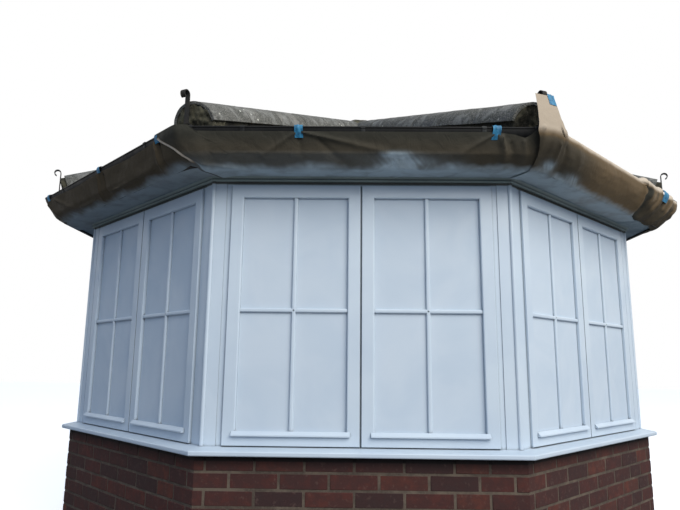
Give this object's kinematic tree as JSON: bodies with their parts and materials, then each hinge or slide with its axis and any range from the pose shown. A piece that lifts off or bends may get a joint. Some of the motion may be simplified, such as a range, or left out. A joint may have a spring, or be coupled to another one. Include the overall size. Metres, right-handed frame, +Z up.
{
  "type": "bay window",
  "caption": "Canted bay window with brick plinth, lipped timber casements, mitred sill, hipped tiled roof and masking paper over the eaves.",
  "frame": {"origin": "centre of the octagon on the ground, on the underside of the floor slab", "axes": "+X to the right seen from outside, -Y out of the front face, +Y into the house, +Z up"},
  "size_m": [4.1398, 3.6402, 3.1363],
  "materials": {
    "brick": "rough fired clay with cream mortar",
    "plaster": "matt wall plaster",
    "concrete": "floated concrete",
    "painted_sill": "fresh sprayed satin paint",
    "painted_posts": "fresh sprayed satin paint",
    "painted_frame": "fresh sprayed satin paint",
    "painted_casement": "fresh sprayed satin paint",
    "oversprayed_glass": "masked and sprayed over, matt",
    "timber": "sawn softwood",
    "eaves_boards": "dark stained boards",
    "gutter": "black, weathered",
    "roof_tiles": "dark weathered tiles",
    "cap_tiles": "weathered grey with lichen",
    "iron": "dull black wrought iron",
    "masking_paper": "brown paper with pale overspray"
  },
  "bodies": {
    "root": {"bed_mould": "painted_posts", "brick_front": "brick", "brick_left_front": "brick", "brick_left_return": "brick", "brick_right_front": "brick", "brick_right_return": "brick", "casement_front_left": "painted_casement", "casement_front_right": "painted_casement", "casement_left_front_left": "painted_casement", "casement_left_front_right": "painted_casement", "casement_right_front_left": "painted_casement", "casement_right_front_right": "painted_casement", "casements_left_return": "painted_casement", "casements_right_return": "painted_casement", "ceiling": "plaster", "corner_posts": "painted_posts", "fascia": "eaves_boards", "floor_slab": "concrete", "frame_front": "painted_frame", "frame_left_front": "painted_frame", "frame_left_return": "painted_frame", "frame_right_front": "painted_frame", "frame_right_return": "painted_frame", "glass_front_faces": "oversprayed_glass", "glass_returns": "oversprayed_glass", "gutter_front": "gutter", "gutter_left_front": "gutter", "gutter_left_return": "gutter", "gutter_right_front": "gutter", "gutter_right_return": "gutter", "hip_and_ridge_caps": "cap_tiles", "hip_irons": "iron", "inner_leaf": "plaster", "paper_flap": "masking_paper", "paper_front": "masking_paper", "paper_left": "masking_paper", "paper_right": "masking_paper", "ring_beam": "timber", "roof_front": "roof_tiles", "roof_left_front": "roof_tiles", "roof_left_return": "roof_tiles", "roof_right_front": "roof_tiles", "roof_right_return": "roof_tiles", "roof_timbers": "timber", "sill_front": "painted_sill", "sill_left_front": "painted_sill", "sill_left_return": "painted_sill", "sill_right_front": "painted_sill", "sill_right_return": "painted_sill", "soffit": "eaves_boards", "wall_posts": "painted_posts", "window_board": "painted_sill"}
  },
  "joints": []
}
